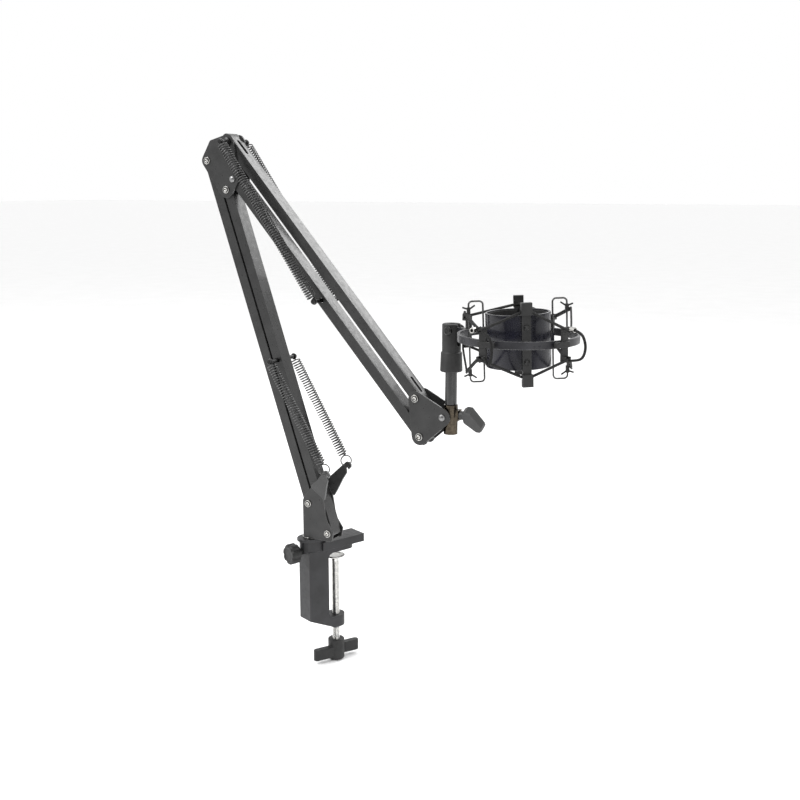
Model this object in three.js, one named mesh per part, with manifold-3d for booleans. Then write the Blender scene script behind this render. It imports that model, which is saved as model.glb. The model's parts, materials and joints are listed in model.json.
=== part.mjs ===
// A desk-clamp boom arm for a microphone: a C-clamp with a swivelling base, two spring-balanced
// parallel-bar arms, a tilting post, and a ring that carries an empty elastic cradle.
// Millimetres, +Z up. The origin is on the flat underside of the clamp's upper jaw, on the axis of
// the clamp screw. Both arms fold in one plane, parallel to XZ, through the swivel axis.

import * as THREE from "three";
import { mergeVertices } from "three/addons/utils/BufferGeometryUtils.js";
import Module from "manifold-3d";

const wasm = await Module();
wasm.setup();

// ---------------------------------------------------------------- driving dimensions

const DEG = Math.PI / 180;
const GAP = 0.3; // running clearance between neighbouring pieces
const ROUND = 20; // sides of an ordinary round piece
const SMALL = 14; // sides of a pin, a bolt or a small hole

// Clamp, in its own frame: +X runs from the column towards the open end of the jaws.
const CLAMP_TURN = 68 * DEG;
const SCREW_TO_SWIVEL = 28;
const CASTING = { halfWidth: 9, columnBack: -38, columnInner: -14.2, columnBottom: -66.5 };
const LOWER_JAW = { top: -69, bottom: -81, flatFrom: -7 };
const UPPER_JAW = { reach: 20, blockTop: 5.5, plateReach: 29, plateTop: 13.5, halfWidth: 11 };
const PLATFORM = { top: 19.5, end: -33, inner: -22, rim: 2.8, neckRadius: 8.6 };
const SCREW = { radius: 4, top: -8.7, bottom: -116 };
const PAD = { top: -5.9, thickness: 2.4, radius: 10 };
const HANDLE = { top: -96.5, bottom: -119, hubRadius: 8.5, turn: -8 * DEG };
const WING = { reach: 27, top: -104, bottom: -115.5, thickness: 7, offset: 2.5 };
const KNOB = { height: 6, radius: 10.5, lobes: 7, outer: -57, inner: -47, studRadius: 3 };

// Base bracket, measured from the front pivot of the lower arm.
const BASE_PIVOT = [2.5, 56.3];
const BRACKET = { bottom: -35.5, back: -6.4, front: 27.5, floor: 1.8, webTop: -12 };
const SPIGOT = { radius: 5, bottom: -12, neck: 2.4, head: 3.7 };
const EAR = { root: [10, 9], tip: [28.5, 36.5], flareFrom: 3, flare: 10.4 };

// Arm linkage. Angles are from +X towards +Z, in the arm plane.
const LINK_PITCH = 35.6;
const LOWER_BAR_LENGTH = 350;
const UPPER_BAR_LENGTH = 310;
const LOWER_BAR_ANGLE = 108.6 * DEG;
const UPPER_BAR_ANGLE = -48.5 * DEG;
const BASE_LINK_ANGLE = -51.4 * DEG;
const ELBOW_LINK_ANGLE = 97.3 * DEG;
const ELBOW_STEP = [29.9, -17.8];
const ELBOW_CORNER = [6, 16.5];
const HEAD_STEP = [27.6, -15];
const BAR = { width: 15, depth: 10, wall: 1.5, end: 9, shortEnd: 5, slot: 14 };
const PLATE = { inner: 7.9, thickness: 1.5 };
const PIN = { radius: 2.5, head: 4.2, headHeight: 2.2 };
const RIVET = { ...PIN, head: 3.4, headHeight: 1.8 };

// Balance springs and the pins they hang on.
const SPRING = { radius: 5, offset: 20, pinRadius: 2, pinHalfLength: 22.5 };
const LOWER_PIN_DISTANCE = 177.5;
const UPPER_PIN_DISTANCE = 150;

// Post and microphone mount: heights from the head pivot, radii from the post axis.
const POST_OFFSET = 4.4;
const POST_CLAMP = { radius: 6.4, bottom: -16, top: 11 };
const POST = { radius: 5.5, core: 4, visibleTo: 41.7, top: 60, bottom: -12 };
const SLEEVE = { bottom: 41.7, collarTop: 59.8, top: 84.9, radius: 8.6, collarRadius: 10.2 };
const WING_SCREW = { height: 2, radius: 2.5, hub: 9.4, lean: 30 * DEG, halfThickness: 4.6 };
const MOUNT_TURN = -12.7 * DEG;
const MOUNT_PIN = { out: 3, height: 79.3 };
const TONGUE = { thickness: 3.6, endRadius: 5.4 };

// Shock mount, measured from the centre of the ring's band.
const RING = { offset: 72.8, radius: 52, wall: 2.2, height: 6.5 };
const RING_POST = { width: 6.8, thickness: 2.4, height: 28, ribReach: 8.5, ribHeight: 4.8 };
// Each post's turn about the ring, and the side on which its rib sticks out.
const RING_POSTS = [
  { degrees: -10.6, ribSide: -1 },
  { degrees: 93.3, ribSide: 1 },
  { degrees: 180, ribSide: -1, windowed: true },
  { degrees: 273.2, ribSide: 1 },
];
const CRADLE = { radius: 27.7, wall: 1.8, lining: 1.6, height: 46, rise: 1.2 };
const CRADLE_PLACE = { turn: -48.5 * DEG, lean: 2.3 * DEG, drop: -2.5 };
const SPINE = { width: 7.4, thickness: 2.6, height: 70, skew: 7.3 * DEG, screwAt: 14.5 };
const SPINE_HEAD = { width: 9, thickness: 5.4, height: 10.4 };
const WIRE = { radius: 0.8, height: 69, inner: 29.4, outer: 41.5, corner: 3, forkAt: 8 };
const CORD = { radius: 1.2, postHook: 13.5, spineHook: 27, forkHook: 24.5 };

// ---------------------------------------------------------------- pivots of the linkage

const plus = ([x, z], [dx, dz]) => [x + dx, z + dz];
const along = (from, angle, distance) =>
  plus(from, [distance * Math.cos(angle), distance * Math.sin(angle)]);

const baseFront = BASE_PIVOT;
const baseRear = along(baseFront, BASE_LINK_ANGLE, LINK_PITCH);
const elbowFront = along(baseFront, LOWER_BAR_ANGLE, LOWER_BAR_LENGTH);
const elbowRear = along(baseRear, LOWER_BAR_ANGLE, LOWER_BAR_LENGTH);
const elbowLower = plus(elbowFront, ELBOW_STEP);
const elbowUpper = along(elbowLower, ELBOW_LINK_ANGLE, LINK_PITCH);
const headLower = along(elbowLower, UPPER_BAR_ANGLE, UPPER_BAR_LENGTH);
const headUpper = along(elbowUpper, UPPER_BAR_ANGLE, UPPER_BAR_LENGTH);
const headPivot = plus(headUpper, HEAD_STEP);
const lowerSpringPin = along(baseRear, LOWER_BAR_ANGLE, LOWER_PIN_DISTANCE);
const upperSpringPin = along(elbowLower, UPPER_BAR_ANGLE, UPPER_PIN_DISTANCE);
const earHook = plus(baseFront, EAR.tip);

// ---------------------------------------------------------------- finishes

const finish = (color, roughness, metalness) => ({ color, roughness, metalness });
const BLACK_STEEL = finish(0x35373a, 0.5, 0.35);
const CAST_BLACK = finish(0x3a3b3e, 0.55, 0.3);
const BRIGHT_STEEL = finish(0xc8c8c4, 0.25, 1);
const DARK_CHROME = finish(0x5d5648, 0.3, 0.9);
const SPRING_STEEL = finish(0x2b2d2f, 0.35, 0.8);
const BLACK_PLASTIC = finish(0x2d2e31, 0.45, 0);
const GREY_PLASTIC = finish(0x6b6d70, 0.5, 0);
const SATIN_RING = finish(0x565a5c, 0.4, 0.5);
const GLOSSY_CRADLE = finish(0x23262c, 0.2, 0.1);
const FOAM = finish(0x3c3d3f, 0.9, 0);
const BRAID = finish(0x1d1d1e, 0.85, 0);

// ---------------------------------------------------------------- solids and meshes

function solid(geometry) {
  const bare = geometry.clone();
  for (const name of Object.keys(bare.attributes)) {
    if (name !== "position") bare.deleteAttribute(name);
  }
  const merged = mergeVertices(bare, 1e-4);
  return new wasm.Manifold(
    new wasm.Mesh({
      numProp: 3,
      vertProperties: new Float32Array(merged.attributes.position.array),
      triVerts: new Uint32Array(merged.index.array),
    }),
  );
}

const asSolid = (shape) => (shape.getMesh ? shape : solid(shape));
const join = (first, ...others) =>
  others.reduce((whole, piece) => whole.add(asSolid(piece)), asSolid(first));
const cut = (first, ...others) =>
  others.reduce((whole, piece) => whole.subtract(asSolid(piece)), asSolid(first));

function geometryOf(body) {
  const mesh = body.getMesh();
  const geometry = new THREE.BufferGeometry();
  geometry.setAttribute("position", new THREE.BufferAttribute(mesh.vertProperties, 3));
  geometry.setIndex(new THREE.BufferAttribute(mesh.triVerts, 1));
  const faceted = geometry.toNonIndexed();
  faceted.computeVertexNormals();
  return faceted;
}

function addMesh(parent, name, shape, look) {
  const geometry = shape.getMesh ? geometryOf(shape) : shape;
  const mesh = new THREE.Mesh(geometry, new THREE.MeshStandardMaterial(look));
  mesh.name = name;
  parent.add(mesh);
  return mesh;
}

const box = (low, high) =>
  new THREE.BoxGeometry(high[0] - low[0], high[1] - low[1], high[2] - low[2]).translate(
    (low[0] + high[0]) / 2,
    (low[1] + high[1]) / 2,
    (low[2] + high[2]) / 2,
  );

// A solid of revolution about Z from [radius, height] points, going up the outside.
const turned = (profile, sides = ROUND) =>
  new THREE.LatheGeometry(
    profile.map(([radius, height]) => new THREE.Vector2(radius, height)),
    sides,
  ).rotateX(Math.PI / 2);
const rod = (radius, from, to, sides) =>
  turned([[0, from], [radius, from], [radius, to], [0, to]], sides);
const turnedAlongY = (profile, sides) => turned(profile, sides).rotateX(-Math.PI / 2);
const rodAlongY = (radius, from, to, sides) => rod(radius, from, to, sides).rotateX(-Math.PI / 2);
const turnedAlongX = (profile, sides) => turned(profile, sides).rotateY(Math.PI / 2);
const rodAlongX = (radius, from, to, sides) => rod(radius, from, to, sides).rotateY(Math.PI / 2);

// The outline round circles {at: [x, y], radius} that are listed anticlockwise.
function outlineAround(circles, steps = 6) {
  const outward = circles.map(({ at, radius }, i) => {
    const next = circles[(i + 1) % circles.length];
    const [dx, dy] = [next.at[0] - at[0], next.at[1] - at[1]];
    return Math.atan2(dy, dx) - Math.PI / 2 + Math.asin((radius - next.radius) / Math.hypot(dx, dy));
  });
  const points = circles.flatMap(({ at, radius }, i) => {
    const from = outward.at(i - 1);
    const sweep = THREE.MathUtils.euclideanModulo(outward[i] - from, 2 * Math.PI);
    return Array.from({ length: steps + 1 }, (_, step) => {
      const angle = from + (sweep * step) / steps;
      return new THREE.Vector2(at[0] + radius * Math.cos(angle), at[1] + radius * Math.sin(angle));
    });
  });
  return new THREE.Shape(points);
}

function withHoles(shape, centres, radius) {
  for (const [x, y] of centres) {
    shape.holes.push(new THREE.Path().absarc(x, y, radius, 0, 2 * Math.PI, true));
  }
  return shape;
}

const polygon = (points) => new THREE.Shape(points.map(([x, y]) => new THREE.Vector2(x, y)));
const extruded = (shape, low, high, curveSegments = 7) =>
  new THREE.ExtrudeGeometry(shape, { depth: high - low, bevelEnabled: false, curveSegments })
    .translate(0, 0, low);
// An outline of (x, z) points that is given thickness from y = low to y = high.
const extrudedAlongY = (shape, low, high, curveSegments) =>
  extruded(shape, -high, -low, curveSegments).rotateX(Math.PI / 2);

// A bar with both ends rounded, from x = left to x = right, `radius` to each side of y = 0.
const capsule = (left, right, radius) =>
  outlineAround([{ at: [left, 0], radius }, { at: [right, 0], radius }]);

const vectors = (points) => points.map(([x, y, z]) => new THREE.Vector3(x, y, z));
const closedWire = (points, radius, segments, sides) =>
  new THREE.TubeGeometry(
    new THREE.CatmullRomCurve3(vectors(points), true, "centripetal"),
    segments,
    radius,
    sides,
    true,
  );
const roundSection = (radius) => new THREE.Shape().absarc(0, 0, radius, 0, 2 * Math.PI);
const openWire = (points, radius, steps) =>
  new THREE.ExtrudeGeometry(roundSection(radius), {
    extrudePath: new THREE.CatmullRomCurve3(vectors(points), false, "centripetal"),
    steps,
    curveSegments: 3,
  });

// ---------------------------------------------------------------- clamp

function clampBody() {
  const { halfWidth, columnBack, columnInner, columnBottom } = CASTING;
  const roundEnd = (centre, low, high) =>
    rod(halfWidth, low, high, 32).translate(centre, 0, 0);
  const side = polygon([
    [columnBack, columnBottom],
    [LOWER_JAW.flatFrom, LOWER_JAW.bottom],
    [0, LOWER_JAW.bottom],
    [0, LOWER_JAW.top],
    [columnInner + 5, LOWER_JAW.top],
    [columnInner + 1.5, LOWER_JAW.top + 1.5],
    [columnInner, LOWER_JAW.top + 5],
    [columnInner, -5],
    [columnInner + 1.5, -1.5],
    [columnInner + 5, 0],
    [UPPER_JAW.reach - halfWidth, 0],
    [UPPER_JAW.reach - halfWidth, UPPER_JAW.blockTop],
    [columnBack, UPPER_JAW.blockTop],
  ]);
  const plate = polygon([
    [PLATFORM.inner, -UPPER_JAW.halfWidth],
    [UPPER_JAW.plateReach, -UPPER_JAW.halfWidth],
    [UPPER_JAW.plateReach, UPPER_JAW.halfWidth],
    [PLATFORM.inner, UPPER_JAW.halfWidth],
  ]);
  const rimLow = PLATFORM.top - PLATFORM.rim;
  const neck = capsule(PLATFORM.end, PLATFORM.inner, PLATFORM.neckRadius);
  const rim = capsule(PLATFORM.end, PLATFORM.inner, UPPER_JAW.halfWidth);
  const body = join(
    extrudedAlongY(side, -halfWidth, halfWidth),
    roundEnd(0, LOWER_JAW.bottom, LOWER_JAW.top),
    roundEnd(UPPER_JAW.reach - halfWidth, 0, UPPER_JAW.blockTop),
    extruded(plate, UPPER_JAW.blockTop - 0.5, UPPER_JAW.plateTop),
    extruded(neck, UPPER_JAW.blockTop - 0.5, rimLow + 0.5),
    extruded(rim, rimLow, PLATFORM.top),
  );
  const spigotBore = rod(SPIGOT.radius + GAP, SPIGOT.bottom - 2, PLATFORM.top + 1);
  return cut(
    body,
    spigotBore.translate(-SCREW_TO_SWIVEL, 0, 0),
    rod(SCREW.radius + GAP, LOWER_JAW.bottom - 1, LOWER_JAW.top + 1),
    rodAlongX(KNOB.studRadius + GAP, -50, -SCREW_TO_SWIVEL, SMALL).translate(0, 0, KNOB.height),
  );
}

function clampScrew() {
  return turned([
    [0, SCREW.bottom],
    [SCREW.radius, SCREW.bottom],
    [SCREW.radius, SCREW.top - 1],
    [SCREW.radius - 1, SCREW.top],
    [0, SCREW.top],
  ]);
}

function clampPad() {
  const { top, thickness, radius } = PAD;
  const bottom = top - thickness;
  return turned([[0, bottom], [radius - 0.8, bottom], [radius, bottom + 0.8], [radius, top], [0, top]], 32);
}

function clampHandle() {
  const { top, bottom, hubRadius } = HANDLE;
  const hub = turned([
    [0, bottom],
    [hubRadius - 1.5, bottom],
    [hubRadius, bottom + 1.5],
    [hubRadius, top - 1],
    [hubRadius - 1, top],
    [0, top],
  ]);
  const wingOutline = outlineAround([
    { at: [0, 0], radius: WING.thickness / 2 },
    { at: [WING.reach - WING.thickness / 2, 0], radius: WING.thickness / 2 },
  ]);
  const wing = extruded(wingOutline, WING.bottom, WING.top).translate(0, WING.offset, 0);
  const socket = rod(SCREW.radius + GAP, SCREW.bottom - GAP, top + 1);
  return cut(join(hub, wing, wing.clone().rotateZ(Math.PI)), socket);
}

function lockKnob() {
  const { radius, lobes, outer, inner, studRadius } = KNOB;
  const rim = new THREE.Shape(
    Array.from({ length: lobes * 8 }, (_, i) => {
      const angle = (i * 2 * Math.PI) / (lobes * 8);
      const reach = radius - 0.9 + 0.9 * Math.cos(lobes * angle);
      return new THREE.Vector2(reach * Math.cos(angle), reach * Math.sin(angle));
    }),
  );
  const studEnd = -SCREW_TO_SWIVEL - SPIGOT.radius - 2 * GAP;
  return join(
    extruded(rim, outer, inner).rotateY(Math.PI / 2),
    rodAlongX(6.5, inner - 1, inner + 2.5),
    rodAlongX(studRadius, inner, studEnd, SMALL),
  );
}

function buildClamp() {
  const clamp = new THREE.Group();
  clamp.rotation.z = CLAMP_TURN;
  addMesh(clamp, "clamp_body", clampBody(), CAST_BLACK);
  addMesh(clamp, "clamp_screw", clampScrew(), BRIGHT_STEEL);
  addMesh(clamp, "clamp_pad", clampPad(), BRIGHT_STEEL);
  addMesh(clamp, "clamp_handle", clampHandle(), BLACK_PLASTIC).rotation.z = HANDLE.turn;
  addMesh(clamp, "lock_knob", lockKnob(), BLACK_PLASTIC).position.z = KNOB.height;
  return clamp;
}

// ---------------------------------------------------------------- pins and plates of the linkage

const plateOuter = PLATE.inner + PLATE.thickness;

// A bolt through both plates: a pan head on the near side, a domed end on the far side.
function pivotBolt({ radius, head, headHeight } = PIN) {
  const under = plateOuter + GAP;
  return turnedAlongY([
    [0, -under - headHeight],
    [head - 1.2, -under - headHeight],
    [head, -under - headHeight + 1.4],
    [head, -under],
    [radius, -under],
    [radius, under],
    [head, under],
    [head - 1, under + headHeight - 1],
    [0, under + headHeight],
  ], SMALL);
}

// A long pin that sticks out past both plates and carries a spring on a grooved end.
function springPin({ radius, collar }) {
  const { pinHalfLength, offset } = SPRING;
  const ends = [
    [collar, plateOuter + GAP],
    [collar, plateOuter + GAP + 2],
    [SPRING.pinRadius, plateOuter + GAP + 2.6],
    [SPRING.pinRadius, offset + 1.2],
    [SPRING.pinRadius + 1, offset + 1.4],
    [SPRING.pinRadius + 1, pinHalfLength - 0.4],
    [SPRING.pinRadius + 0.4, pinHalfLength],
    [0, pinHalfLength],
  ];
  const farHalf = [[radius, plateOuter + GAP], ...ends];
  const nearHalf = farHalf.map(([r, y]) => [r, -y]).reverse();
  return turnedAlongY([...nearHalf, ...farHalf], SMALL);
}

const placeAt = (mesh, [x, z]) => mesh.position.set(x, 0, z);

// A plate on each side of the bars, with a hole for each pin.
function addPlatePair(parent, names, outline, holes) {
  const shape = withHoles(outlineAround(outline), holes, PIN.radius + GAP);
  addMesh(parent, names[0], extrudedAlongY(shape, -plateOuter, -PLATE.inner), BLACK_STEEL);
  addMesh(parent, names[1], extrudedAlongY(shape, PLATE.inner, plateOuter), BLACK_STEEL);
}

// ---------------------------------------------------------------- bars

// A folded channel from pivot to pivot along +X, closed on top and open below.
function bar(length, { ends = [BAR.end, BAR.end], slotted = false, pinAt = null } = {}) {
  const half = BAR.depth / 2;
  const outline = capsule(half - ends[0], length + ends[1] - half, half);
  const inside = BAR.width / 2 - BAR.wall;
  const hole = (x, radius) => rodAlongY(radius, -BAR.width, BAR.width, SMALL).translate(x, 0, 0);
  const slot = (x) => extruded(capsule(x, x + BAR.slot, 2), 0, BAR.depth);
  const cuts = [
    box([-2 * BAR.end, -inside, -BAR.depth], [length + 2 * BAR.end, inside, half - BAR.wall]),
    hole(0, PIN.radius + GAP),
    hole(length, PIN.radius + GAP),
  ];
  if (pinAt) cuts.push(hole(pinAt, SPRING.pinRadius + GAP));
  if (slotted) cuts.push(slot(4), slot(length - BAR.slot - 4));
  return cut(extrudedAlongY(outline, -BAR.width / 2, BAR.width / 2), ...cuts);
}

// Hangs a bar from its upper pivot, pointing along the angle in the arm plane.
function addBar(parent, name, from, angle, length, options) {
  const mesh = addMesh(parent, name, bar(length, options), BLACK_STEEL);
  mesh.rotation.y = -angle;
  placeAt(mesh, from);
}

// ---------------------------------------------------------------- springs

// A spring's envelope between two points of the arm plane, short of each end by its eye.
function addSprings(parent, names, from, to, clearance) {
  const [dx, dz] = [to[0] - from[0], to[1] - from[1]];
  const length = Math.hypot(dx, dz);
  names.forEach((name, i) => {
    const body = rodAlongX(SPRING.radius, clearance[0], length - clearance[1], SMALL);
    const mesh = addMesh(parent, name, body, SPRING_STEEL);
    mesh.rotation.y = -Math.atan2(dz, dx);
    mesh.position.set(from[0], (i ? 1 : -1) * SPRING.offset, from[1]);
  });
}

// ---------------------------------------------------------------- swivelling base

function baseSpigot() {
  const { radius, bottom, neck, head } = SPIGOT;
  const floorLow = BASE_PIVOT[1] + BRACKET.bottom;
  const washerLow = PLATFORM.top + GAP;
  const washerHigh = floorLow - GAP;
  const headLow = floorLow + BRACKET.floor + GAP;
  return turned([
    [0, bottom],
    [radius - 0.8, bottom],
    [radius, bottom + 0.8],
    [radius, washerLow],
    [9.5, washerLow],
    [9.5, washerHigh],
    [neck, washerHigh],
    [neck, headLow],
    [head, headLow],
    [head, headLow + 1],
    [neck, headLow + 1.8],
    [0, headLow + 1.8],
  ]);
}

// One ear: a blade bent outwards from the cheek, that carries a spring's eye in its hooked tip.
function ear(side) {
  const [dx, dz] = [EAR.tip[0] - EAR.root[0], EAR.tip[1] - EAR.root[1]];
  const length = Math.hypot(dx, dz);
  const slope = EAR.flare / (length - EAR.flareFrom);
  const outline = polygon([
    [EAR.flareFrom, -9],
    [9, -8],
    [20, -5.4],
    [length - 6.2, -4.4],
    [length - 3.4, -1.2],
    [length - 1.4, -1.2],
    [length - 2.6, -4],
    [length + 0.6, -4.2],
    [length + 2.6, -2.4],
    [length + 3, 0.4],
    [length + 1.6, 3],
    [length - 3, 4],
    [16, 6.5],
    [7, 10],
    [EAR.flareFrom, 9.5],
  ]);
  const outer = plateOuter + 0.4;
  const strip =
    side > 0
      ? extrudedAlongY(outline, PLATE.inner, outer)
      : extrudedAlongY(outline, -outer, -PLATE.inner);
  return strip
    .translate(-EAR.flareFrom, 0, 0)
    .applyMatrix4(new THREE.Matrix4().makeShear(side * slope, 0, 0, 0, 0, 0))
    .translate(EAR.flareFrom, 0, 0)
    .rotateY(-Math.atan2(dz, dx))
    .translate(EAR.root[0], 0, EAR.root[1]);
}

// The folded bracket: two cheeks, a back web, a floor and two ears, about the front pivot.
function baseBracket() {
  const { bottom, back, front, floor, webTop } = BRACKET;
  const rear = [baseRear[0] - baseFront[0], baseRear[1] - baseFront[1]];
  const cheek = polygon([
    [back, bottom],
    [front - 2, bottom],
    [front, bottom + 2],
    [front + 1.2, bottom + 10],
    [22.5, -16.5],
    [20, -9],
    [18.6, 0],
    [17, 8],
    [12, 16],
    [6, 19],
    [2, 15],
    [-4, 8],
    [back, 3],
  ]);
  withHoles(cheek, [[0, 0], rear], PIN.radius + GAP);
  const floorPlate = box([back, -plateOuter, bottom], [front - 2, plateOuter, bottom + floor]);
  const backWeb = box([back, -plateOuter, bottom + 5], [back + PLATE.thickness, plateOuter, webTop]);
  const spigotHole = rod(SPIGOT.neck + GAP, bottom - 1, bottom + floor + 1, SMALL);
  return cut(
    join(
      extrudedAlongY(cheek, -plateOuter, -PLATE.inner),
      extrudedAlongY(cheek, PLATE.inner, plateOuter),
      floorPlate,
      backWeb,
      ear(-1),
      ear(1),
    ),
    spigotHole.translate(-BASE_PIVOT[0], 0, 0),
  );
}

function buildBase() {
  const base = new THREE.Group();
  addMesh(base, "base_spigot", baseSpigot(), BRIGHT_STEEL);
  placeAt(addMesh(base, "base_bracket", baseBracket(), BLACK_STEEL), baseFront);
  placeAt(addMesh(base, "base_bolt_front", pivotBolt(), BRIGHT_STEEL), baseFront);
  placeAt(addMesh(base, "base_bolt_rear", pivotBolt(), BRIGHT_STEEL), baseRear);
  return base;
}

// ---------------------------------------------------------------- arms and elbow

function buildArms() {
  const arms = new THREE.Group();
  const lower = LOWER_BAR_ANGLE - Math.PI;
  addBar(arms, "lower_bar_front", elbowFront, lower, LOWER_BAR_LENGTH);
  const lowerPinFromTop = LOWER_BAR_LENGTH - LOWER_PIN_DISTANCE;
  addBar(arms, "lower_bar_rear", elbowRear, lower, LOWER_BAR_LENGTH, {
    ends: [BAR.shortEnd, BAR.shortEnd],
    pinAt: lowerPinFromTop,
  });
  addBar(arms, "upper_bar_top", elbowUpper, UPPER_BAR_ANGLE, UPPER_BAR_LENGTH, { slotted: true });
  addBar(arms, "upper_bar_bottom", elbowLower, UPPER_BAR_ANGLE, UPPER_BAR_LENGTH, {
    ends: [BAR.shortEnd, BAR.end],
    pinAt: UPPER_PIN_DISTANCE,
  });

  const crossPin = springPin({ radius: SPRING.pinRadius, collar: SPRING.pinRadius });
  placeAt(addMesh(arms, "lower_spring_pin", crossPin, BRIGHT_STEEL), lowerSpringPin);
  placeAt(addMesh(arms, "upper_spring_pin", crossPin.clone(), BRIGHT_STEEL), upperSpringPin);

  const elbowOutline = [
    { at: elbowFront, radius: 6.5 },
    { at: elbowRear, radius: 8 },
    { at: elbowLower, radius: 7 },
    { at: elbowUpper, radius: 7 },
    { at: plus(elbowFront, ELBOW_CORNER), radius: 3 },
  ];
  const elbowHoles = [elbowFront, elbowRear, elbowLower, elbowUpper];
  addPlatePair(arms, ["elbow_plate_near", "elbow_plate_far"], elbowOutline, elbowHoles);
  placeAt(addMesh(arms, "elbow_bolt_front", pivotBolt(), BRIGHT_STEEL), elbowFront);
  placeAt(addMesh(arms, "elbow_bolt_rear", pivotBolt(), BRIGHT_STEEL), elbowRear);
  placeAt(addMesh(arms, "elbow_rivet", pivotBolt(RIVET), BRIGHT_STEEL), elbowLower);
  const elbowPin = springPin({ radius: PIN.radius, collar: PIN.head });
  placeAt(addMesh(arms, "elbow_spring_pin", elbowPin, BRIGHT_STEEL), elbowUpper);

  const pinClearance = SPRING.pinRadius + 1.4;
  const lowerSprings = ["lower_spring_near", "lower_spring_far"];
  addSprings(arms, lowerSprings, earHook, lowerSpringPin, [6, pinClearance]);
  const upperSprings = ["upper_spring_near", "upper_spring_far"];
  addSprings(arms, upperSprings, elbowUpper, upperSpringPin, [pinClearance, pinClearance]);
  return arms;
}

// ---------------------------------------------------------------- head

// The split barrel that grips the post, pivoted beside it, about the head pivot.
function postClamp() {
  const { radius, bottom, top } = POST_CLAMP;
  const barrel = rod(radius, bottom, top, 32).translate(POST_OFFSET, 0, 0);
  const boss = rodAlongY(6, -PLATE.inner + GAP, PLATE.inner - GAP);
  const lug = box([POST_OFFSET, -4, WING_SCREW.height - 5], [POST_OFFSET + 9, 4, WING_SCREW.height + 5]);
  const bore = rod(POST.core + GAP, bottom + 2, top + 1).translate(POST_OFFSET, 0, 0);
  const split = box([POST_OFFSET + 2, -0.6, bottom + 4], [POST_OFFSET + 10, 0.6, top + 1]);
  const rivetHole = rodAlongY(PIN.radius + GAP, -PLATE.inner, -5.2, SMALL);
  const screwHole = rodAlongX(WING_SCREW.radius + GAP, POST_OFFSET + 5.4, POST_OFFSET + 10, SMALL);
  return cut(
    join(barrel, boss, lug),
    bore,
    split,
    rivetHole,
    rivetHole.clone().rotateZ(Math.PI),
    screwHole.translate(0, 0, WING_SCREW.height),
  );
}

function headRivet() {
  const under = plateOuter + GAP;
  return turnedAlongY([
    [0, -under - RIVET.headHeight],
    [RIVET.head - 1.6, -under - RIVET.headHeight + 0.1],
    [RIVET.head - 0.5, -under - RIVET.headHeight + 0.8],
    [RIVET.head, -under],
    [PIN.radius, -under],
    [PIN.radius, -5.5],
    [0, -5.5],
  ], SMALL);
}

// The blade hangs down and away from the hub, and leans back about the screw.
function wingHandle() {
  const { radius, hub, lean, halfThickness } = WING_SCREW;
  const blade = polygon([
    [0, 5],
    [4, 7.6],
    [8.5, 7.2],
    [16.6, -9.4],
    [16.8, -12.6],
    [14, -15],
    [10.4, -15],
    [0, -5.2],
  ]);
  return join(
    rodAlongX(radius, POST_OFFSET + 6.2, POST_OFFSET + hub + 2, SMALL),
    rodAlongX(4, POST_OFFSET + hub, POST_OFFSET + hub + 6, 20),
    extrudedAlongY(blade, -halfThickness, halfThickness)
      .translate(POST_OFFSET + hub + 4, 0, 0)
      .rotateX(lean),
  );
}

function post() {
  const { radius, core, visibleTo, top, bottom } = POST;
  const shoulder = POST_CLAMP.top + GAP;
  return turned([
    [0, bottom],
    [core, bottom],
    [core, shoulder],
    [radius, shoulder],
    [radius, visibleTo - GAP],
    [core, visibleTo - GAP],
    [core, top],
    [0, top],
  ]);
}

// The sleeve on top of the post, slotted across the mount's direction for the ring's tongue.
function sleeve() {
  const { bottom, collarTop, top, radius, collarRadius } = SLEEVE;
  const { out, height } = MOUNT_PIN;
  const outer = turned([
    [0, bottom],
    [collarRadius - 0.6, bottom],
    [collarRadius, bottom + 0.8],
    [radius + 1, collarTop - 1],
    [radius, collarTop],
    [radius, top - 0.8],
    [radius - 0.8, top],
    [0, top],
  ], 32);
  const slotHalf = TONGUE.thickness / 2 + GAP;
  const slotLeft = out - TONGUE.endRadius - GAP;
  return cut(
    outer,
    rod(POST.core + GAP, bottom - 1, POST.top + GAP),
    box([slotLeft, -slotHalf, height - 14], [2 * radius, slotHalf, top + 1]),
    rodAlongY(PIN.radius + GAP, -2 * radius, 2 * radius, SMALL).translate(out, 0, height),
  );
}

function mountBolt() {
  const { out, height } = MOUNT_PIN;
  const half = SLEEVE.radius + GAP;
  return turnedAlongY([
    [0, -half - 1.8],
    [3, -half - 1.8],
    [4, -half - 0.8],
    [4, -half],
    [PIN.radius, -half],
    [PIN.radius, half],
    [4, half],
    [4, half + 1.6],
    [0, half + 1.6],
  ], SMALL).translate(out, 0, height);
}

function buildHead() {
  const head = new THREE.Group();
  const outline = [
    { at: headUpper, radius: 7 },
    { at: headLower, radius: 8 },
    { at: headPivot, radius: 8 },
  ];
  addPlatePair(head, ["head_plate_near", "head_plate_far"], outline, [headUpper, headLower, headPivot]);
  placeAt(addMesh(head, "head_bolt_top", pivotBolt(), BRIGHT_STEEL), headUpper);
  placeAt(addMesh(head, "head_bolt_bottom", pivotBolt(), BRIGHT_STEEL), headLower);
  placeAt(addMesh(head, "head_rivet_near", headRivet(), BRIGHT_STEEL), headPivot);
  placeAt(addMesh(head, "head_rivet_far", headRivet().rotateZ(Math.PI), BRIGHT_STEEL), headPivot);
  placeAt(addMesh(head, "post_clamp", postClamp(), DARK_CHROME), headPivot);
  const wing = addMesh(head, "wing_handle", wingHandle(), GREY_PLASTIC);
  wing.position.set(headPivot[0], 0, headPivot[1] + WING_SCREW.height);
  return head;
}

// ---------------------------------------------------------------- shock mount

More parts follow.
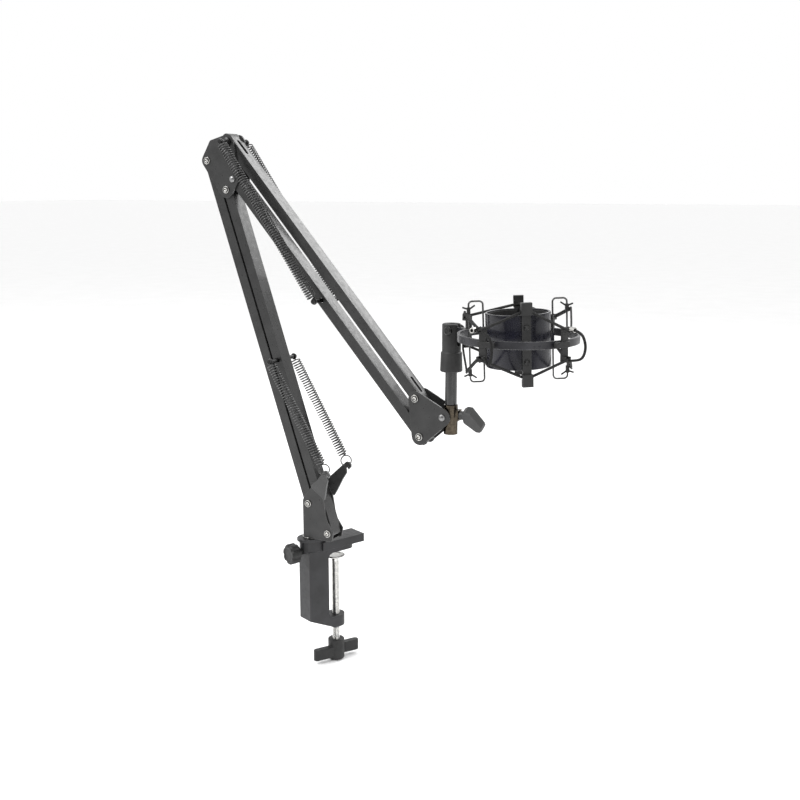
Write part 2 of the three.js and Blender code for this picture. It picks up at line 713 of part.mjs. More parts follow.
// A flat-backed arc of the ring's or cradle's wall, from one angle to another about Z.
function arcWall(inner, outer, from, to, low, high, segments) {
  const shape = new THREE.Shape().absarc(0, 0, outer, from, to, false);
  shape.absarc(0, 0, inner, to, from, true);
  return extruded(shape, low, high, segments);
}

function outerRing() {
  const { radius, wall, height, offset } = RING;
  const half = height / 2;
  const band = turned([
    [radius - wall, -half],
    [radius, -half],
    [radius, half],
    [radius - wall, half],
    [radius - wall, -half],
  ], 72);
  const pinAt = MOUNT_PIN.out - offset;
  const tongueHalf = TONGUE.thickness / 2;
  const eye = rodAlongY(TONGUE.endRadius, -tongueHalf, tongueHalf, 32).translate(pinAt, 0, 0);
  const arm = box([pinAt, -tongueHalf, -half + 0.4], [0.5 - radius, tongueHalf, half - 0.4]);
  const hole = rodAlongY(PIN.radius + GAP, -10, 10, SMALL).translate(pinAt, 0, 0);
  return cut(join(band, eye, arm), hole);
}

// A post on the outside of the band: a plate with a rib across it and two hooks at each end.
function ringPost({ ribSide, windowed }) {
  const { width, thickness, height, ribReach, ribHeight } = RING_POST;
  const inner = RING.radius + GAP;
  const outer = inner + thickness;
  const [halfWidth, halfHeight] = [width / 2, height / 2];
  const plate = box([inner, -halfWidth, -halfHeight], [outer, halfWidth, halfHeight]);
  const rib = box(
    [inner + 1, -halfWidth - 0.6, -ribHeight / 2],
    [outer + 1.4, halfWidth + ribReach, ribHeight / 2],
  );
  if (ribSide < 0) rib.translate(0, -ribReach + 0.6, 0);
  const pieces = [plate, rib];
  for (const end of [-1, 1]) {
    for (const side of [-1, 1]) {
      const hook = box([outer - 0.5, -0.9, -1.1], [outer + 3.6, 0.9, 1.1]);
      pieces.push(hook.translate(0, side * (halfWidth - 0.9), end * (CORD.postHook - 2.6)));
    }
  }
  const body = join(...pieces);
  if (!windowed) return body;
  const windowHalf = TONGUE.thickness / 2 + GAP;
  const high = RING.height / 2 + GAP;
  return cut(body, box([inner - 1, -windowHalf, -high], [outer + 2, windowHalf, high]));
}

// A strip up the cradle's seam, with a thick head at each end that the cord runs through.
function spine() {
  const { width, thickness, height, screwAt } = SPINE;
  const inner = CRADLE.radius + GAP;
  const half = height / 2;
  const headHalf = SPINE_HEAD.width / 2;
  const pieces = [
    box([inner, -width / 2, 1 - half], [inner + thickness, width / 2, half - 1]),
  ];
  const cuts = [];
  for (const end of [-1, 1]) {
    const middle = end * (half - SPINE_HEAD.height / 2);
    pieces.push(
      box(
        [inner, -headHalf, middle - SPINE_HEAD.height / 2],
        [inner + SPINE_HEAD.thickness, headHalf, middle + SPINE_HEAD.height / 2],
      ),
    );
    const tunnelHalf = CORD.radius + 1.5 * GAP;
    const tunnel = box([inner - 1, -width, -tunnelHalf], [inner + 4.1, width, tunnelHalf]);
    cuts.push(tunnel.translate(0, 0, end * CORD.spineHook));
    cuts.push(rodAlongX(1.5, inner - 1, inner + thickness + 1, 12).translate(0, 0, end * screwAt));
  }
  return cut(join(...pieces), ...cuts);
}

function spineScrew() {
  const inner = CRADLE.radius + GAP;
  const face = inner + SPINE.thickness + GAP;
  return turnedAlongX([
    [0, inner + GAP],
    [1.2, inner + GAP],
    [1.2, face],
    [2.4, face],
    [2.4, face + 0.8],
    [1.6, face + 1.4],
    [0, face + 1.4],
  ], SMALL);
}

// A rounded wire loop that stands in a radial plane, with a pronged cord clip near each end.
function wireLoop() {
  const { radius, height, inner, outer, corner, forkAt } = WIRE;
  const high = height / 2;
  const corners = [
    [inner + corner, high - corner, 90],
    [inner + corner, corner - high, 180],
    [outer - corner, corner - high, 270],
    [outer - corner, high - corner, 360],
  ];
  const path = corners.flatMap(([x, z, from]) =>
    [0, 30, 60, 90].map((turn) => {
      const angle = (from + turn) * DEG;
      return [x + corner * Math.cos(angle), 0, z + corner * Math.sin(angle)];
    }),
  );
  const pieces = [closedWire(path, radius, 90, 6)];
  for (const end of [-1, 1]) {
    const at = end * (high - forkAt);
    const clip = box([outer - 1.5, -1.7, at - 3], [outer + 1.6, 1.7, at + 3]);
    const inward = box([-5.4, -0.7, -0.7], [0, 0.7, 0.7]).rotateY(end * 35 * DEG);
    const outward = box([0, -0.7, -0.7], [4.6, 0.7, 0.7]).rotateY(-end * 20 * DEG);
    pieces.push(
      clip,
      inward.translate(outer - 1, 0, at + end * 1.6),
      outward.translate(outer + 1, 0, at + end * 1.6),
    );
  }
  return join(...pieces);
}

// A wall of the cradle from seam to seam, set in from each seam, about Z.
function cradleWall(inner, wall, inset, [from, to], seam, segments) {
  const half = CRADLE.height / 2 - inset;
  const shape = arcWall(inner, inner + wall, from + seam, to - seam, -half, half, segments);
  return shape.translate(0, 0, CRADLE.rise);
}

// One of the two shells of the cradle, with a clip for the wire loop's inner leg.
function cradleShell(seams, middle) {
  const { radius, wall } = CRADLE;
  const shell = cradleWall(radius - wall, wall, 0, seams, 0.6 / radius, 28);
  const clips = [-1, 1].map((side) =>
    box([radius - 0.8, side * 2 - 0.8, -6], [radius + 2.6, side * 2 + 0.8, 6]).rotateZ(middle),
  );
  return join(shell, ...clips);
}

function cradleLining(seams) {
  const { radius, wall, lining } = CRADLE;
  return cradleWall(radius - wall - GAP - lining, lining, 1, seams, 0.03, 24);
}

const polar = (radius, degrees, z) =>
  new THREE.Vector3(radius * Math.cos(degrees * DEG), radius * Math.sin(degrees * DEG), z);

// The cord runs outside the ring's posts and the wires' clips and through the spines' heads.
function elasticCord(end, cradle) {
  const hookSpread = 3.6;
  const postRadius = RING.radius + RING_POST.thickness + CORD.radius + 4 * GAP;
  const spineRadius = CRADLE.radius + CORD.radius + 2.2 * GAP;
  const clipRadius = WIRE.outer + 1.6 + CORD.radius + GAP;
  const skew = SPINE.skew / DEG;
  const hooks = [
    ...RING_POSTS.map(({ degrees }) => [postRadius, degrees, CORD.postHook]),
    [spineRadius, skew, CORD.spineHook, cradle],
    [clipRadius, 90, CORD.forkHook, cradle],
    [spineRadius, 180 - skew, CORD.spineHook, cradle],
    [clipRadius, 270, CORD.forkHook, cradle],
  ];
  const ends = hooks.map(([radius, degrees, height, group]) => {
    const spread = hookSpread / radius / DEG;
    const pair = [-spread, spread].map((turn) => polar(radius, degrees + turn, end * height));
    if (group) pair.forEach((point) => point.applyMatrix4(group.matrix));
    return pair;
  });
  const turnOf = ([first, second]) =>
    THREE.MathUtils.euclideanModulo(Math.atan2(first.y + second.y, first.x + second.x), 2 * Math.PI);
  const route = ends.sort((a, b) => turnOf(a) - turnOf(b)).flat();
  return closedWire(route.map((point) => point.toArray()), CORD.radius, 110, 6);
}

// A free loop of cord outside one post, from its upper hook down to its lower hook. The points are
// [outward, sideways, height] from the hooks' tips.
function cordLoop(points) {
  const start = RING.radius + RING_POST.thickness + 5;
  return openWire(points.map(([x, y, z]) => [start + x, y, z]), CORD.radius, 20);
}

const RIGHT_LOOP = [
  [0, 0, 13],
  [6, 0, 12.4],
  [13.6, 0, 9],
  [17, 0, 0],
  [13.6, 0, -9],
  [0, 0, -13],
];
const LEFT_LOOP = [
  [0.6, 5.6, 10],
  [1.4, 9, 8.6],
  [2, 12.6, 4],
  [2, 13.8, -4],
  [2, 12.6, -13],
  [1.6, 10, -15.6],
  [1, 7.6, -12],
  [0.6, 5.6, -9.6],
];

function cordCrimp() {
  const [bore, half] = [CORD.radius + GAP, 2.4];
  const outer = bore + 0.8;
  return turnedAlongX([[bore, -half], [outer, -half], [outer, half], [bore, half], [bore, -half]], SMALL);
}

function buildCradle() {
  const cradle = new THREE.Group();
  cradle.rotation.set(CRADLE_PLACE.lean, 0, CRADLE_PLACE.turn, "ZYX");
  cradle.position.z = CRADLE_PLACE.drop;
  cradle.updateMatrix();
  const seams = [SPINE.skew, Math.PI - SPINE.skew, 2 * Math.PI + SPINE.skew];
  ["right", "left"].forEach((side, i) => {
    const middle = Math.PI / 2 + i * Math.PI;
    const pair = [seams[i], seams[i + 1]];
    addMesh(cradle, `cradle_shell_${side}`, cradleShell(pair, middle), GLOSSY_CRADLE);
    addMesh(cradle, `cradle_lining_${side}`, cradleLining(pair), FOAM);
    addMesh(cradle, `wire_loop_${side}`, wireLoop(), BRIGHT_STEEL).rotation.z = middle;
  });
  ["front", "rear"].forEach((side, i) => {
    addMesh(cradle, `spine_${side}`, spine(), BLACK_PLASTIC).rotation.z = seams[i];
    ["upper", "lower"].forEach((level, j) => {
      const screw = addMesh(cradle, `spine_screw_${side}_${level}`, spineScrew(), BRIGHT_STEEL);
      screw.rotation.z = seams[i];
      screw.position.z = (1 - 2 * j) * SPINE.screwAt;
    });
  });
  return cradle;
}

function buildShockMount() {
  const mount = new THREE.Group();
  mount.position.x = RING.offset;
  mount.position.z = MOUNT_PIN.height;
  addMesh(mount, "outer_ring", outerRing(), SATIN_RING);
  RING_POSTS.forEach((place, i) => {
    const piece = addMesh(mount, `ring_post_${i + 1}`, ringPost(place), BLACK_PLASTIC);
    piece.rotation.z = place.degrees * DEG;
  });

  const cradle = buildCradle();
  mount.add(cradle);
  addMesh(mount, "elastic_cord_upper", elasticCord(1, cradle), BRAID);
  addMesh(mount, "elastic_cord_lower", elasticCord(-1, cradle), BRAID);

  const free = [
    { side: "right", post: RING_POSTS[0], points: RIGHT_LOOP, crimpAt: [3, 0, 12.8] },
    { side: "left", post: RING_POSTS[3], points: LEFT_LOOP, crimpAt: [1.4, -4.6, 11.8] },
  ];
  for (const { side, post, points, crimpAt } of free) {
    const loop = new THREE.Group();
    loop.rotation.z = post.degrees * DEG;
    mount.add(loop);
    addMesh(loop, `cord_loop_${side}`, cordLoop(points), BRAID);
    const crimp = addMesh(loop, `cord_crimp_${side}`, cordCrimp(), BRIGHT_STEEL);
    crimp.position.set(RING.radius + RING_POST.thickness + 5 + crimpAt[0], crimpAt[1], crimpAt[2]);
  }
  return mount;
}

// ---------------------------------------------------------------- whole object

const boomArm = new THREE.Group();
boomArm.add(buildClamp());

const arm = new THREE.Group();
arm.position.set(
  -SCREW_TO_SWIVEL * Math.cos(CLAMP_TURN),
  -SCREW_TO_SWIVEL * Math.sin(CLAMP_TURN),
  0,
);
boomArm.add(arm);
arm.add(buildBase(), buildArms(), buildHead());

const mount = new THREE.Group();
mount.position.set(headPivot[0] + POST_OFFSET, 0, headPivot[1]);
mount.rotation.z = MOUNT_TURN;
arm.add(mount);
addMesh(mount, "post", post(), BLACK_STEEL);
addMesh(mount, "sleeve", sleeve(), BLACK_PLASTIC);
addMesh(mount, "mount_bolt", mountBolt(), BRIGHT_STEEL);
mount.add(buildShockMount());

export default boomArm;
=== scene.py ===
"""A desk-clamp boom arm with an empty spider shock mount, on a pale floor in soft studio light."""

import json
import math

import bmesh
import bpy
from mathutils import Matrix, Vector


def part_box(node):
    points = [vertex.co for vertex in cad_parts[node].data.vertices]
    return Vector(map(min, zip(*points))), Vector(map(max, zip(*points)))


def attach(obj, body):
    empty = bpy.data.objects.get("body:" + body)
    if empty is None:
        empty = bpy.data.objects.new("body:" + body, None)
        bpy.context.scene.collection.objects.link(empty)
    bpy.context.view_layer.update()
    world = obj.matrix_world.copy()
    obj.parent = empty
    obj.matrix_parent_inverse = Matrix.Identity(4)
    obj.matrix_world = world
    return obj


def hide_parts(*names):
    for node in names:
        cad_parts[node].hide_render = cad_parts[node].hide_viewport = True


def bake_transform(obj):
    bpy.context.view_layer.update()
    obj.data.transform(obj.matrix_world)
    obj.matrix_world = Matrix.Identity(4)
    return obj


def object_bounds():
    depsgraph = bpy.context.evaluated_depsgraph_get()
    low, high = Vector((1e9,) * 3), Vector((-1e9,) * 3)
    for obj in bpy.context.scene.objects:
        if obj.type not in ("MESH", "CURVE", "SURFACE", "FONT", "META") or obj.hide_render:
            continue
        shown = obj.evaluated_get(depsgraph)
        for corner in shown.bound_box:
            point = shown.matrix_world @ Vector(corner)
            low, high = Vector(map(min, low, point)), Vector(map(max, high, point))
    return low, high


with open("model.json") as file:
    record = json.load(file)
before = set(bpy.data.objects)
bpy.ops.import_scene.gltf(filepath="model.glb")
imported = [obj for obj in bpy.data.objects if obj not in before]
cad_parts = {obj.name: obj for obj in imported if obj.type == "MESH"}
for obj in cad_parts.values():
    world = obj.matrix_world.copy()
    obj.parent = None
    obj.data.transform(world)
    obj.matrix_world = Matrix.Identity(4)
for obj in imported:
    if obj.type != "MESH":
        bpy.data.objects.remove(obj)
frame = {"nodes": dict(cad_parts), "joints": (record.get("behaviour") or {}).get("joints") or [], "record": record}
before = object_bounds()

MM = 0.001
TAU = 2 * math.pi
JOINTS = {joint["name"]: joint for joint in frame["joints"]}


# ---------------------------------------------------------------- places taken from the frame


def pivot(name):
    return Vector(JOINTS[name]["pos_m"])


def corners(*nodes):
    """Lowest and highest corner of one or more CAD nodes."""
    boxes = [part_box(node) for node in nodes]
    low = Vector(min(box[0][i] for box in boxes) for i in range(3))
    high = Vector(max(box[1][i] for box in boxes) for i in range(3))
    return low, high


def centre(*nodes):
    low, high = corners(*nodes)
    return (low + high) / 2


def size(*nodes):
    low, high = corners(*nodes)
    return high - low


Y_AXIS = Vector((0, 1, 0))
Z_AXIS = Vector((0, 0, 1))

swivel = pivot("base_swivel")
base_front = pivot("lower_arm_tilt")
base_rear = pivot("lower_rear_follow")
elbow_front = pivot("elbow_follow")
elbow_upper = pivot("upper_arm_tilt")
elbow_lower = pivot("upper_bottom_follow")
head_upper = pivot("head_follow")
head_pivot = pivot("head_tilt")
elbow_rear = base_rear + elbow_front - base_front
head_lower = head_upper + elbow_lower - elbow_upper
mount_pin = pivot("mount_tilt")
clamp_direction = Vector(JOINTS["lock_knob_turn"]["axis"])
mount_side = Vector(JOINTS["mount_tilt"]["axis"])
mount_direction = mount_side.cross(Z_AXIS)
PIN_TO_RING_CENTRE = 69.8
ring_centre = mount_pin + mount_direction * PIN_TO_RING_CENTRE * MM


def basis(x, y, z, origin):
    """The matrix that carries a local frame with those unit axes to that origin."""
    matrix = Matrix((x, y, z)).transposed().to_4x4()
    matrix.translation = origin
    return matrix


CLAMP = basis(clamp_direction, Z_AXIS.cross(clamp_direction), Z_AXIS, Vector((0, 0, 0)))
MOUNT = basis(mount_direction, mount_side, Z_AXIS, ring_centre)

# The cradle hangs a little low and askew inside the ring.
CRADLE_DROP = 2.5 * MM
CRADLE_TURN = math.radians(-48.5)
CRADLE_LEAN = math.radians(2.3)
CRADLE = (
    MOUNT
    @ Matrix.Translation((0, 0, -CRADLE_DROP))
    @ Matrix.Rotation(CRADLE_TURN, 4, "Z")
    @ Matrix.Rotation(CRADLE_LEAN, 4, "X")
)


def facing(direction, origin):
    """A frame at origin whose Z runs along direction."""
    z = direction.normalized()
    side = Y_AXIS if abs(z.y) < 0.9 else Z_AXIS
    x = side.cross(z).normalized()
    return basis(x, z.cross(x), z, origin)


# ---------------------------------------------------------------- materials


SPECULAR_LEVEL = 0.35


def new_material(name, roughness, metallic=0.0, coat=0.0):
    """A material with its node tree, its Principled shader, and object coordinates in millimetres."""
    material = bpy.data.materials.new(name)
    material.use_nodes = True
    tree = material.node_tree
    shader = tree.nodes["Principled BSDF"]
    shader.inputs["Roughness"].default_value = roughness
    shader.inputs["Metallic"].default_value = metallic
    shader.inputs["Coat Weight"].default_value = coat
    shader.inputs["Specular IOR Level"].default_value = SPECULAR_LEVEL
    place = tree.nodes.new("ShaderNodeTexCoord")
    scale = tree.nodes.new("ShaderNodeMapping")
    scale.inputs["Scale"].default_value = (1 / MM,) * 3
    tree.links.new(place.outputs["Object"], scale.inputs["Vector"])
    return material, tree, shader, scale.outputs["Vector"]


def noise(tree, vector, per_mm, detail=3.0):
    node = tree.nodes.new("ShaderNodeTexNoise")
    node.inputs["Scale"].default_value = per_mm
    node.inputs["Detail"].default_value = detail
    tree.links.new(vector, node.inputs["Vector"])
    return node.outputs["Fac"]


def ramp(tree, factor, stops):
    """Maps a factor to colours by (position, (r, g, b)) stops."""
    node = tree.nodes.new("ShaderNodeValToRGB")
    while len(node.color_ramp.elements) < len(stops):
        node.color_ramp.elements.new(0.5)
    for element, (position, colour) in zip(node.color_ramp.elements, stops):
        element.position = position
        element.color = (*colour, 1)
    tree.links.new(factor, node.inputs["Fac"])
    return node.outputs["Color"]


def spread(tree, factor, low, high):
    """Maps a noise factor from its usual span to low..high."""
    node = tree.nodes.new("ShaderNodeMapRange")
    node.inputs["From Min"].default_value = 0.3
    node.inputs["From Max"].default_value = 0.7
    node.inputs["To Min"].default_value = low
    node.inputs["To Max"].default_value = high
    tree.links.new(factor, node.inputs["Value"])
    return node.outputs["Result"]


def add_bump(tree, shader, height, strength, distance_mm):
    bump = tree.nodes.new("ShaderNodeBump")
    bump.inputs["Strength"].default_value = strength
    bump.inputs["Distance"].default_value = distance_mm * MM
    tree.links.new(height, bump.inputs["Height"])
    tree.links.new(bump.outputs["Normal"], shader.inputs["Normal"])


def edge_wear_and_highlight(tree, radius_mm):
    """1 on convex edges and 0 on open faces, from how far the bevelled normal leans."""
    bevel = tree.nodes.new("ShaderNodeBevel")
    bevel.samples = 4
    bevel.inputs["Radius"].default_value = radius_mm * MM
    geometry = tree.nodes.new("ShaderNodeNewGeometry")
    dot = tree.nodes.new("ShaderNodeVectorMath")
    dot.operation = "DOT_PRODUCT"
    tree.links.new(bevel.outputs["Normal"], dot.inputs[0])
    tree.links.new(geometry.outputs["True Normal"], dot.inputs[1])
    lean = tree.nodes.new("ShaderNodeMapRange")
    lean.inputs["From Min"].default_value = 0.995
    lean.inputs["From Max"].default_value = 0.8
    tree.links.new(dot.outputs["Value"], lean.inputs["Value"])
    return lean.outputs["Result"]


def mix(tree, factor, first, second):
    node = tree.nodes.new("ShaderNodeMix")
    node.data_type = "RGBA"
    tree.links.new(factor, node.inputs["Factor"])
    for socket, value in ((node.inputs["A"], first), (node.inputs["B"], second)):
        if isinstance(value, tuple):
            socket.default_value = (*value, 1)
        else:
            tree.links.new(value, socket)
    return node.outputs["Result"]


def coated(name, dark, light, edge, roughness, grain_mm, bump=0.15, metallic=0.0, coat=0.0):
    """Paint or moulded plastic: cloudy colour, fine grain, and edges lighter, partly rubbed wear and partly
    painted highlight.
    """
    material, tree, shader, vector = new_material(name, roughness, metallic, coat)
    cloud = noise(tree, vector, 0.06)
    grain = noise(tree, vector, 1 / grain_mm, 6.0)
    colour = ramp(tree, cloud, [(0.35, dark), (0.68, light)])
    # Convex edges are lightened, never less than a quarter of the way: partly rubbed wear, partly a painted
    # highlight along the edges.
    wear_and_highlight = tree.nodes.new("ShaderNodeMath")
    wear_and_highlight.operation = "MULTIPLY"
    tree.links.new(edge_wear_and_highlight(tree, 0.5), wear_and_highlight.inputs[0])
    tree.links.new(spread(tree, noise(tree, vector, 0.5, 5.0), 0.25, 1.0), wear_and_highlight.inputs[1])
    tree.links.new(mix(tree, wear_and_highlight.outputs["Value"], colour, edge), shader.inputs["Base Color"])
    rough = spread(tree, noise(tree, vector, 0.25), roughness - 0.07, roughness + 0.09)
    tree.links.new(rough, shader.inputs["Roughness"])
    add_bump(tree, shader, grain, bump, 0.25 * grain_mm)
    return material


def bright_metal(name, dark, light, roughness, brushed=(1, 1, 1), bump=0.08):
    """Plated metal with fine brushing along one axis and faint tarnish."""
    material, tree, shader, vector = new_material(name, roughness, 1.0)
    stretch = tree.nodes.new("ShaderNodeMapping")
    stretch.inputs["Scale"].default_value = brushed
    tree.links.new(vector, stretch.inputs["Vector"])
    lines = noise(tree, stretch.outputs["Vector"], 3.0, 4.0)
    tarnish = noise(tree, vector, 0.35, 4.0)
    tree.links.new(ramp(tree, tarnish, [(0.3, dark), (0.62, light)]), shader.inputs["Base Color"])
    rough = spread(tree, lines, roughness - 0.06, roughness + 0.1)
    tree.links.new(rough, shader.inputs["Roughness"])
    add_bump(tree, shader, lines, bump, 0.05)
    return material


def braided(name, dark, light):
    """Woven elastic: two crossing sets of slanted threads, laid out by each tube's UV map."""
    material, tree, shader, _ = new_material(name, 0.75)
    place = tree.nodes.new("ShaderNodeTexCoord")
    threads = []
    for lean in (-1, 1):
        turn = tree.nodes.new("ShaderNodeMapping")
        turn.inputs["Rotation"].default_value = (0, 0, lean * TAU / 8)
        tree.links.new(place.outputs["UV"], turn.inputs["Vector"])
        wave = tree.nodes.new("ShaderNodeTexWave")
        wave.inputs["Scale"].default_value = 2.2
        tree.links.new(turn.outputs["Vector"], wave.inputs["Vector"])
        threads.append(wave.outputs["Fac"])
    highest = tree.nodes.new("ShaderNodeMath")
    highest.operation = "MAXIMUM"
    for thread, socket in zip(threads, highest.inputs):
        tree.links.new(thread, socket)
    weave = highest.outputs["Value"]
    tree.links.new(ramp(tree, weave, [(0.45, dark), (0.95, light)]), shader.inputs["Base Color"])
    add_bump(tree, shader, weave, 0.6, 0.25)
    return material


def grey(value, blue=0.0):
    return (value, value, value + blue)


STEEL_PAINT = coated("black paint", grey(0.012), grey(0.02), grey(0.07), 0.3, 0.35, 0.12, coat=0.15)
PLATE_PAINT = coated("satin black", grey(0.015), grey(0.024), grey(0.13), 0.33, 0.4, 0.12, coat=0.1)
POST_PAINT = coated("post paint", grey(0.008), grey(0.014), grey(0.06), 0.16, 0.4, 0.06, coat=0.5)
BLACK_SCREW = bright_metal("blackened screw", grey(0.02), grey(0.05), 0.3)
CAST_PAINT = coated("powder coat", grey(0.013, 0.001), grey(0.022, 0.002), grey(0.1), 0.42, 0.5, 0.3)
BLACK_PLASTIC = coated("black plastic", grey(0.009), grey(0.016), grey(0.05), 0.45, 0.4, 0.25)
SLEEVE_PLASTIC = coated("sleeve plastic", grey(0.014), grey(0.024), grey(0.06), 0.5, 0.3, 0.3)
GREY_PLASTIC = coated("grey plastic", grey(0.03), grey(0.05), grey(0.14), 0.42, 0.35, 0.2)
CRADLE_PLASTIC = coated(
    "cradle plastic", grey(0.005, 0.003), grey(0.009, 0.006), grey(0.05), 0.26, 0.3, 0.03, coat=0.2
)
# The ring's edge colour, far lighter than its paint, draws light lines along its rims: partly painted highlight,
# partly rubbed wear.
RING_METAL = coated("ring metal", grey(0.013, 0.002), grey(0.022, 0.004), grey(0.35), 0.32, 0.8, 0.1)
FOAM = coated("foam", grey(0.008), grey(0.016), grey(0.03), 0.85, 0.6, 0.9)
BRIGHT = bright_metal("bright steel", grey(0.34), (0.62, 0.61, 0.58), 0.24)
RIVET_STEEL = bright_metal("rivet steel", grey(0.16), grey(0.3), 0.36)
SCREW_STEEL = bright_metal("screw steel", grey(0.45), (0.68, 0.67, 0.64), 0.2)
WIRE_STEEL = bright_metal("dark wire", grey(0.06), grey(0.13), 0.35)
SPRING_STEEL = bright_metal("spring wire", grey(0.05), grey(0.12), 0.34)
BARREL_METAL = bright_metal(
    "dark bronze", (0.045, 0.037, 0.028), (0.09, 0.075, 0.056), 0.14, (1, 1, 0.1), 0.02
)
CORD = braided("elastic cord", grey(0.003), grey(0.02))


# ---------------------------------------------------------------- mesh tools


def make_object(name, bm, material, smooth=True):
    bmesh.ops.recalc_face_normals(bm, faces=bm.faces)
    mesh = bpy.data.meshes.new(name)
    bm.to_mesh(mesh)
    bm.free()
    for polygon in mesh.polygons:
        polygon.use_smooth = smooth
    mesh.materials.append(material)
    piece = bpy.data.objects.new(name, mesh)
    bpy.context.collection.objects.link(piece)
    return piece


def skin_rings(bm, rings, closed=False):
    """Faces between rings of vertices that hold the same number each, capped unless closed."""
    loops = list(zip(rings, rings[1:] + rings[:1] if closed else rings[1:]))
    for first, second in loops:
        for i in range(len(first)):
            j = (i + 1) % len(first)
            bm.faces.new((first[i], first[j], second[j], second[i]))
    if not closed:
        bm.faces.new(rings[0][::-1])
        bm.faces.new(rings[-1])


def rounded_profile(points, radius, steps=3):
    """(r, h) points with each inner corner replaced by a short arc."""
    result = [points[0]]
    for before_it, corner, after_it in zip(points, points[1:], points[2:]):
        corner, before_it, after_it = Vector(corner), Vector(before_it), Vector(after_it)
        into, out = before_it - corner, after_it - corner
        reach = min(radius, into.length * 0.45, out.length * 0.45)
        start, end = corner + into.normalized() * reach, corner + out.normalized() * reach
        for step in range(steps + 1):
            t = step / steps
            result.append(tuple(start * (1 - t) ** 2 + corner * 2 * t * (1 - t) + end * t * t))
    return result + [points[-1]]


def turned(name, place, profile, material, rounding=0.4 * MM, sides=64, radius_at=None):
    """A body turned about the local Z axis from (radius, height) points that start and end on it."""
    bm = bmesh.new()
    rings = []
    smooth_profile = rounded_profile(profile, rounding) if rounding else profile
    for radius, height in smooth_profile[1:-1]:
        ring = []
        for i in range(sides):
            angle = TAU * i / sides
            reach = radius_at(radius, height, angle) if radius_at else radius
            ring.append(bm.verts.new((reach * math.cos(angle), reach * math.sin(angle), height)))
        rings.append(ring)
    skin_rings(bm, rings)
    bm.transform(place)
    piece = make_object(name, bm, material)
    return sharpen(piece)


def sharpen(piece, degrees=40):
    """Smooth shading that breaks at sharp edges."""
    mesh = piece.data
    mesh.set_sharp_from_angle(angle=math.radians(degrees))
    return piece


def sweep(name, points, radius, material, sides=10, closed=False, uv_per_metre=None):
    """A round tube along a path, without twist, with UVs round and along it."""
    points = [Vector(point) for point in points]
    count = len(points)
    tangents = []
    for i in range(count):
        ahead = points[(i + 1) % count] if closed or i + 1 < count else points[i]
        behind = points[i - 1] if closed or i else points[i]
        tangents.append((ahead - behind).normalized())
    normal = tangents[0].orthogonal().normalized()
    normals = []
    for tangent in tangents:
        normal = (normal - tangent * normal.dot(tangent)).normalized()
        normals.append(normal.copy())
    bm = bmesh.new()
    rings = []
    for point, tangent, across in zip(points, tangents, normals):
        up = tangent.cross(across)
        ring = []
        for i in range(sides):
            angle = TAU * i / sides
            ring.append(bm.verts.new(point + radius * (across * math.cos(angle) + up * math.sin(angle))))
        rings.append(ring)
    skin_rings(bm, rings, closed)
    if uv_per_metre:
        lay_uvs(bm, points, sides, uv_per_metre)
    return make_object(name, bm, material)


def lay_uvs(bm, points, sides, per_metre):
    """Gives each face of a swept tube its place round the tube and along it."""
    along = [0.0]
    for first, second in zip(points, points[1:]):
        along.append(along[-1] + (second - first).length * per_metre)
    layer = bm.loops.layers.uv.new("braid")
    bm.verts.index_update()
    for face in bm.faces:
        if len(face.verts) != 4:
            continue
        around = [loop.vert.index % sides for loop in face.loops]
        wraps = 0 in around and sides - 1 in around
        for loop, i in zip(face.loops, around):
            turn = 1.0 if wraps and i == 0 else i / sides
            loop[layer].uv = (turn * 2, along[loop.vert.index // sides])


def smooth_path(points, per_span=8, closed=False):
    """A Catmull-Rom curve through the points."""
    points = [Vector(point) for point in points]
    count = len(points)
    spans = count if closed else count - 1
    path = []
    for i in range(spans):
        if closed:
            a, b, c, d = (points[(i + k) % count] for k in (-1, 0, 1, 2))
        else:
            a, b, c, d = (points[min(max(i + k, 0), count - 1)] for k in (-1, 0, 1, 2))
        for step in range(per_span):
            t = step / per_span
            square = 2 * a - 5 * b + 4 * c - d
            cube = 3 * b - a - 3 * c + d
            path.append(0.5 * (2 * b + (c - a) * t + square * t**2 + cube * t**3))
    if not closed:
        path.append(points[-1])
    return path


def body_of_node(node):
    bodies = frame["record"]["behaviour"]["bodies"]
    return next(body for body, nodes in bodies.items() if node in nodes)


def stand_for(piece, *nodes):
    """The piece moves with the nodes' body and is shown in their place."""
    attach(piece, body_of_node(nodes[0]))
    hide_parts(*nodes)
    return piece


def soften(piece, bevel_mm, segments=2):
    """Rounds a piece's edges."""
    bevel = piece.modifiers.new("rounded edges", "BEVEL")
    bevel.width = bevel_mm * MM
    bevel.segments = segments
    bevel.limit_method = "ANGLE"
    bevel.angle_limit = math.radians(35)
    bevel.harden_normals = True


def refined(node, material, bevel_mm=0.4, segments=3):
    """A CAD node's shape with merged flat faces, smooth round faces and rounded edges."""
    bm = bmesh.new()
    bm.from_mesh(frame["nodes"][node].data)
    bmesh.ops.remove_doubles(bm, verts=bm.verts, dist=0.002 * MM)
    bmesh.ops.dissolve_limit(bm, angle_limit=math.radians(1), verts=bm.verts, edges=bm.edges)
    piece = sharpen(make_object(f"{node}_surface", bm, material), 35)
    soften(piece, bevel_mm, segments)
    return stand_for(piece, node)


# ---------------------------------------------------------------- balance springs

COIL_RADIUS = 4.35 * MM
SPRING_WIRE = 0.62 * MM
SPRING_PITCH = 2.5 * MM
PIN_EYE_RADIUS = 2.6 * MM
RING_EYE_RADIUS = 5.2 * MM
RING_EYE_TURN = math.radians(33)
PER_TURN = 16


def eye_points(radius, middle, turn, above):
    """A full ring round a point of the spring's axis, that leaves it on the axis above or below."""
    points = []
    for i in range(PER_TURN + 3):
        angle = TAU / 4 - TAU * (i - 2) / PER_TURN
        out = radius * math.cos(angle)
        rise = radius * math.sin(angle) * (1 if above else -1)
        points.append((out * math.cos(turn), out * math.sin(turn), middle + rise))
    return points[::-1]


